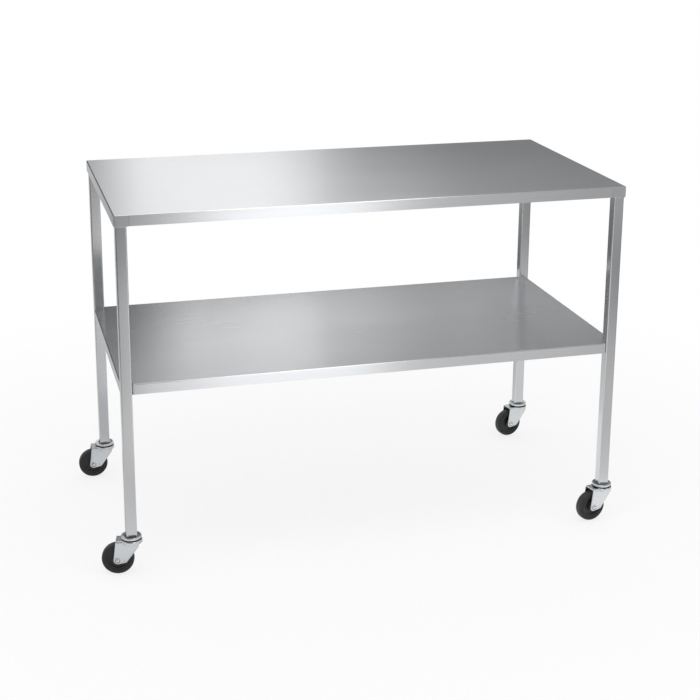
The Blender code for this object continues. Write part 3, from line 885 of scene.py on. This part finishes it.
def boltBlank():
    s = boltShape
    seat = forkShape["cheekOuter"] + seatGap
    tail = -(forkShape["cheekOuter"] + 2 * seatGap + nutShape["height"] + s["tail"])
    top = seat + s["flangeHeight"]
    floor = top - s["grooveDepth"]
    e, near = s["flangeRound"], s["markWithin"]
    profile = [(0, tail), (s["shank"] - s["chamfer"], tail), (s["shank"], tail + s["chamfer"])]
    profile += [(s["shank"], seat), (s["flange"], seat)]
    profile += arcPoints((s["flange"] - e, top - e), e, 0, 90, 3)
    profile += [(s["groove"] + s["grooveSlope"], top), (s["groove"], floor), (s["cap"], floor)]
    for t in s["capTurns"]:
        rise = s["capHeight"] * sin(radians(t))
        profile.append((s["cap"] * cos(radians(t)), floor + rise))
    profile += [(0, floor + s["capHeight"])]
    bm = lathe(profile, s["steps"], closed=False)

    # painted shade on the floor of the ring groove
    markVerts(bm, "paintedShade", lambda co: 1.0 if abs(co.z - floor) < near
              and s["cap"] - near < co.xy.length < s["groove"] + near else 0.0)
    return layAlongAxle(bm)


nutShape = dict(flats=0.013, height=0.005, bore=0.0043, chamfer=0.0008, cornerCut=1.03, steps=8)


def nutBlank():
    s = nutShape
    steps = 6 * s["steps"]
    half = s["flats"] / 2
    turns = [tau * i / steps for i in range(steps)]
    flats = [half / cos((t + pi / 6) % (pi / 3) - pi / 6) for t in turns]
    rounded = [min(r, half * s["cornerCut"]) for r in flats]
    near = -(forkShape["cheekOuter"] + seatGap)
    far = near - s["height"]
    bore = [s["bore"]] * steps
    shape = ((bore, near), (rounded, near), (flats, near - s["chamfer"]),
             (flats, far + s["chamfer"]), (rounded, far), (bore, far))
    rings = [[(r * cos(t), r * sin(t), z) for r, t in zip(radii, turns)] for radii, z in shape]
    return layAlongAxle(loftRings(rings, closed=True))


hubShape = dict(width=0.0264, boss=0.0125, bore=0.00675, rim=0.0253, rimWall=0.0035,
    rimHalf=0.00925, web=0.010, round=0.0008, steps=80)


def hubBlank():
    s = hubShape
    half, web, e = s["width"] / 2, s["web"] / 2, s["round"]
    well = s["rim"] - s["rimWall"]
    side = [(s["bore"], half - e), (s["bore"] + e, half)]
    for x, z, start, end in ((s["boss"] - e, half - e, 90, 0), (s["boss"] + e, web + e, 180, 270),
                             (well - e, web + e, 270, 360), (well + e, s["rimHalf"] - e, 180, 90)):
        side += arcPoints((x, z), e, start, end, 3)
    side += [(s["rim"], s["rimHalf"])]
    return layAlongAxle(lathe(mirrored(side), s["steps"]))


tyreShape = dict(inner=0.0256, half=0.0115, crown=0.0050, crownWidth=0.0085, crownSteps=10,
    middle=0.0004, lip=0.0020, ringGroove=0.0310, grooveWidth=0.0010, grooveDepth=0.0005,
    treadDepth=0.0012, steps=112)


def tyreBlank():
    s = tyreShape
    outer, half, lip, crown, reach = axleHeight, s["half"], s["lip"], s["crown"], s["crownWidth"]
    ring, wide, floor = s["ringGroove"], s["grooveWidth"], s["half"] - s["grooveDepth"]
    side = [(s["inner"], half - lip)]
    side += arcPoints((s["inner"] + lip, half - lip), lip, 180, 90, 4)
    side += [(ring - wide, half), (ring - wide / 2, floor), (ring + wide / 2, floor)]
    side += [(ring + wide, half)]
    for i in range(s["crownSteps"] + 1):
        t = radians(90 - 90 * i / s["crownSteps"])
        side.append((outer - crown + crown * cos(t), half - reach + reach * sin(t)))
    side += [(outer, s["middle"])]
    bm = lathe(mirrored(side), s["steps"])
    tread = outer - s["treadDepth"]
    markVerts(bm, "tread", lambda co: 1.0 if co.xy.length > tread else 0.0)
    return layAlongAxle(bm)


# pattern, body that it rides on, slot, and solid that it stands for
casterPieces = dict(
    swivelStem=(makePiece("stem", stemBlank(), brightZinc), "table", "bright_zinc", "caster_stem_"),
    ballRace=(makePiece("race", raceBlank(), bearingSteel), "caster_", "bearing_steel", "ball_race_"),
    swivelBalls=(beadPiece("balls", [ballPath()], swivelBall), "caster_", "bearing_steel", None),
    pressedFork=(forkPiece(), "caster_", "bright_zinc", "fork_"),
    axleBolt=(makePiece("bolt", boltBlank(), brightZinc), "caster_", "bright_zinc", "axle_bolt_"),
    axleNut=(makePiece("nut", nutBlank(), brightZinc, sharp=25), "caster_", "bright_zinc", "axle_nut_"),
    wheelCore=(makePiece("core", hubBlank(), blackCore), "wheel_", "black_core", "wheel_hub_"),
    rubberTyre=(makePiece("rubber", tyreBlank(), blackRubber), "wheel_", "black_rubber", "tyre_"))

for corner in corners:
    place = casterMatrix(corner)
    for name, (pattern, body, slotName, node) in casterPieces.items():
        piece = pattern.copy()
        piece.data = pattern.data.copy()
        piece.name = piece.data.name = name + "_" + corner
        scene.collection.objects.link(piece)
        piece.data.transform(place)
        nodes = [node + corner] if node else []
        dress(piece, body if body == "table" else body + corner, slotName, *nodes)
for pattern, *rest in casterPieces.values():
    bpy.data.objects.remove(pattern, do_unlink=True)
print("casters:", len(corners), "dressed")


# studio

studio = dict(ambient=0.9, floorRadius=14.0, floorSteps=96, floorColour=(0.9, 0.9, 0.9, 1),
    shadowShare=0.22, shadowNear=0.95, shadowFar=1.9)


def seenRays(tree):
    # rays that show the white background: the camera's own, and those in metal and glass
    path = addNode(tree, "ShaderNodeLightPath").outputs
    inMetal = maths(tree, "MAXIMUM", path["Is Glossy Ray"], path["Is Transmission Ray"])
    return maths(tree, "MAXIMUM", path["Is Camera Ray"], inMetal)


def glow(tree, kind, strength):
    return addNode(tree, kind, {"Color": (1, 1, 1, 1), "Strength": strength}).outputs[0]


def mixShader(tree, share, first, second):
    return addNode(tree, "ShaderNodeMixShader", {0: share, 1: first, 2: second}).outputs[0]


def buildWorld():
    world = bpy.data.worlds.new("studio")
    scene.world = world
    world.use_nodes = True
    tree = world.node_tree
    tree.nodes.clear()
    ambient = glow(tree, "ShaderNodeBackground", studio["ambient"])
    white = glow(tree, "ShaderNodeBackground", 1.0)
    mixed = mixShader(tree, seenRays(tree), ambient, white)
    addNode(tree, "ShaderNodeOutputWorld", {"Surface": mixed})


def stageMaterial(name):
    material, tree, shader = newMaterial(name)
    tree.nodes.remove(shader)
    output = next(node for node in tree.nodes if node.type == "OUTPUT_MATERIAL")
    return material, tree, output.inputs["Surface"]


def buildFloor():
    s = studio
    bm = bmesh.new()
    bmesh.ops.create_circle(bm, cap_ends=True, segments=s["floorSteps"], radius=s["floorRadius"])
    material, tree, surface = stageMaterial("paleFloor")
    away = addNode(tree, "ShaderNodeVectorMath", {0: objectPlace(tree)}, operation="LENGTH")
    ramp = {0: away.outputs["Value"], 1: s["shadowNear"], 2: s["shadowFar"],
            3: s["shadowShare"], 4: 0.0}
    share = addNode(tree, "ShaderNodeMapRange", ramp).outputs[0]
    matt = addNode(tree, "ShaderNodeBsdfDiffuse", {"Color": s["floorColour"]}).outputs[0]
    shown = mixShader(tree, share, glow(tree, "ShaderNodeEmission", 1.0), matt)
    tree.links.new(mixShader(tree, seenRays(tree), matt, shown), surface)
    makePiece("floor", bm, material)


# grey filters round the set, seen only in the metal: they shade what it mirrors
toneTent = dict(reach=2.4, axis=0.2, end=4.0, halfLength=0.61, halfWidth=0.305, floorGap=0.004,
    lengthSteps=80, widthSteps=30, archSteps=30, endSteps=8, viewDistance=3.3, viewSide=-0.93,
    lowTone=0.9, groundAcross=((0, 0.82), (0.65, 0.62), (1.8, 0.63), (2.1, 0.58), (4, 0.40)),
    groundAlong=((0, 1.0), (0.6, 1.0), (1.1, 0.70), (1.7, 0.40), (4, 0.30)),
    under=((-4, 0.74), (-0.40, 0.74), (-0.2, 1), (0.1, 1), (0.3, 1.2), (0.5, 1.2), (0.6, 1)),
    underNear=((0, 1), (0.01, 1), (0.05, 0)),
    glows=(((0.70, -0.40), 0.9), ((0.70, 0.16), 0.45), ((-0.55, 0.16), 0.4)),
    glowSpread=((0, 1), (0.06, 1), (0.13, 0)),
    frontPath=((-4, 0), (-0.575, 0), (-0.50, 0.95), (-0.46, 1), (-0.05, 1), (0.12, 0)),
    pathFrom=((0, 0), (0.4, 0), (0.75, 1)),
    legSides=((-4, 1), (-0.585, 1), (-0.56, 0), (0.555, 0), (0.585, 0.6)),
    legShade=((0, 1), (0.7, 1), (1.7, 0.40)),
    rearTones=((-4, 0.8), (-2.2, 0.8), (-1.75, 0.16), (-0.55, 0.22), (-0.24, 1.0), (0.55, 1.0),
        (1.05, 0.69), (1.6, 0.65), (2.2, 0.30)),
    highRear=((-4, 0.70), (-2.2, 0.92), (-1.4, 0.80), (-0.55, 0.22)),
    highFrom=((0, 0), (1.45, 0), (1.85, 1)),
    frontTones=((-4, 0.36), (-1.0, 0.25), (-0.60, 0.14), (-0.27, 0.14), (0.0, 1.0), (0.54, 1.0),
        (0.80, 0.52), (1.6, 0.38), (2.05, 0.85), (2.8, 0.92), (4, 0.40)),
    leftEnd=((-2.4, 0.90), (-0.8, 0.75), (0.6, 0.50), (2.4, 0.80)),
    rightEnd=((-2.4, 0.60), (-0.8, 0.50), (0.6, 0.28), (2.4, 0.40)),
    lowLeft=((-4, 0.85), (-0.80, 0.85), (-0.62, 0)), lowHeight=((0, 1), (0.55, 1), (0.85, 0)),
    turnOver=((-2.4, 0), (-0.8, 0), (0.8, 1)), lift=((0, 0), (0.3, 1)))
rearCards = dict(away=0.6, low=0.40, split=0.865, slit=1e-4, high=1.8, left=-0.6, right=2.0,
    acrossSteps=75, upSteps=12,
    shelfLow=((-0.6, 0.40), (-0.44, 0.36), (-0.24, 0.60), (0.28, 0.68), (0.65, 0.90), (0.83, 0.68)),
    shelfHigh=((-0.6, 0.28), (-0.46, 0.14), (-0.24, 0.76), (0.02, 1.0), (0.55, 0.95), (0.75, 0.82)),
    shelfTurn=((0.40, 0), (0.56, 0), (0.66, 1)),
    shelfUp=((0.40, 0.34), (0.54, 0.54), (0.60, 0.58), (0.68, 0.93), (0.78, 1.0)),
    topLow=((-0.6, 0.88), (-0.53, 0.88), (-0.45, 0.98), (-0.20, 0.85), (0.27, 0.31), (2, 0.32)),
    topHigh=((-0.6, 0.92), (-0.53, 0.92), (-0.45, 1.0), (-0.08, 1.0), (0.31, 0.31), (0.63, 0.27)),
    topTurn=((0.865, 0), (0.944, 0), (1.036, 1)), topUp=((0.865, 0.90), (1.08, 1.0)))


def groundTone(x, y):
    s = toneTent
    beside = max(abs(y) - s["halfWidth"], 0)
    ground = between(s["groundAcross"], beside)
    ground *= between(s["groundAlong"], max(abs(x) - s["halfLength"], 0))
    ground *= mix(1.0, between(s["under"], x), between(s["underNear"], beside))
    for spot, strength in s["glows"]:
        away = (Vector((x, y)) - Vector(spot)).length
        ground = mix(ground, 1.0, strength * between(s["glowSpread"], away))
    ahead = -y - s["halfWidth"]
    if ahead > 0:
        share = ahead / s["viewDistance"]
        seen = (x + s["viewSide"] * share) / (1 + share)
        ground = mix(ground, 1.0, between(s["frontPath"], seen) * between(s["pathFrom"], ahead))
        ground *= mix(1.0, between(s["legShade"], ahead), between(s["legSides"], seen))
    return ground


def wallTone(x, y, z):
    s = toneTent
    if abs(x) == s["end"]:
        return between(s["rightEnd" if x > 0 else "leftEnd"], y)
    wall = mix(between(s["frontTones"], x), between(s["rearTones"], x), between(s["turnOver"], y))
    if y > s["halfWidth"]:
        wall = mix(wall, s["lowTone"], between(s["lowLeft"], x) * between(s["lowHeight"], z))
        if x < s["highRear"][-1][0]:
            wall = mix(wall, between(s["highRear"], x), between(s["highFrom"], z))
    return wall


def tentTone(x, y, z):
    return mix(groundTone(x, y), wallTone(x, y, z), between(toneTent["lift"], z))


def cardTone(x, y, z):
    s = rearCards
    card = "shelf" if z < s["split"] else "top"
    low, high = between(s[card + "Low"], x), between(s[card + "High"], x)
    return mix(low, high, between(s[card + "Turn"], z)) * between(s[card + "Up"], z)


def tentSheets():
    s = toneTent
    reach, end, gap, steps = s["reach"], s["end"], s["floorGap"], s["endSteps"]
    lengths = [end * (i / s["lengthSteps"] - 1) for i in range(2 * s["lengthSteps"] + 1)]
    widths = [reach * (i / s["widthSteps"] - 1) for i in range(2 * s["widthSteps"] + 1)]
    turns = [pi * i / s["archSteps"] for i in range(s["archSteps"] + 1)]
    arch = [(reach * cos(t), s["axis"] + reach * sin(t)) for t in turns]
    hoop = [(reach, gap)] + arch + [(-reach, gap)]
    sheets = [[[(x, y, gap) for y in widths] for x in lengths],
              [[(x, y, z) for y, z in hoop] for x in lengths]]
    for x in (-end, end):
        sheets.append([[(x, y, mix(gap, z, i / steps)) for i in range(steps + 1)] for y, z in arch])
    return sheets


def cardSheets():
    c = rearCards
    across, up = c["acrossSteps"], c["upSteps"]
    places = [mix(c["left"], c["right"], i / across) for i in range(across + 1)]
    sheets = []
    for low, high in ((c["low"], c["split"] - c["slit"]), (c["split"], c["high"])):
        heights = [mix(low, high, i / up) for i in range(up + 1)]
        sheets.append([[(x, c["away"], z) for z in heights] for x in places])
    return sheets


def buildToneTent():
    bm = bmesh.new()
    layer = bm.verts.layers.float.new("tone")
    for sheets, toneAt in ((tentSheets(), tentTone), (cardSheets(), cardTone)):
        for sheet in sheets:
            rows = []
            for points in sheet:
                rows.append([bm.verts.new(point) for point in points])
                for vert, point in zip(rows[-1], points):
                    vert[layer] = toneAt(*point)
            for low, high in zip(rows, rows[1:]):
                for i in range(len(low) - 1):
                    bm.faces.new((low[i], low[i + 1], high[i + 1], high[i]))
    material, tree, surface = stageMaterial("toneFilter")
    clear = {"Color": meshMark(tree, "tone", "Color")}
    tree.links.new(addNode(tree, "ShaderNodeBsdfTransparent", clear).outputs[0], surface)
    tent = makePiece("toneTent", bm, material)
    for ray in ("camera", "diffuse", "transmission", "volume_scatter", "shadow"):
        setattr(tent, "visible_" + ray, False)


softboxes = dict(
    overheadBox=dict(place=(-0.15, -0.6, 2.30), aim=(-0.1, -0.2, 0.5), size=(1.6, 1.0), radiance=1.8),
    rearBox=dict(place=(0.09, 1.95, 1.25), aim=(0.0, 0.0, 0.8), size=(0.72, 1.7), radiance=0.22),
    frontStrip=dict(place=(0.21, -2.0, 0.80), aim=(0.1, 0.0, 0.7), size=(0.62, 1.6), radiance=0.55))


def buildSoftbox(name, box):
    light = bpy.data.lights.new(name, "AREA")
    light.shape = "RECTANGLE"
    light.size, light.size_y = width, height = box["size"]
    light.energy = box["radiance"] * pi * width * height
    lamp = bpy.data.objects.new(name, light)
    lamp.location = box["place"]
    towards = Vector(box["aim"]) - Vector(box["place"])
    lamp.rotation_euler = towards.to_track_quat("-Z", "Y").to_euler()
    lamp.visible_camera = False
    scene.collection.objects.link(lamp)


cameraView = dict(lens=75.8, sensor=36, shift=-0.14, stand=(-0.934, -3.444, 1.639), yaw=15.315,
    down=15.33, roll=0.355)


def buildCamera():
    c = cameraView
    data = bpy.data.cameras.new("photoCamera")
    data.sensor_width = c["sensor"]
    data.lens = c["lens"]
    data.shift_y = c["shift"]
    camera = bpy.data.objects.new("photoCamera", data)
    turn = Matrix.Rotation(radians(-c["yaw"]), 3, "Z")
    turn = turn @ Matrix.Rotation(radians(90 - c["down"]), 3, "X")
    turn = turn @ Matrix.Rotation(radians(c["roll"]), 3, "Z")
    camera.rotation_euler = turn.to_euler()
    camera.location = tableCentre + Vector(c["stand"])
    scene.collection.objects.link(camera)
    scene.camera = camera


buildWorld()
buildFloor()
buildToneTent()
for name, box in softboxes.items():
    buildSoftbox(name, box)
buildCamera()
scene.view_settings.view_transform = "Standard"
print("studio: floor, filters, softboxes, camera")
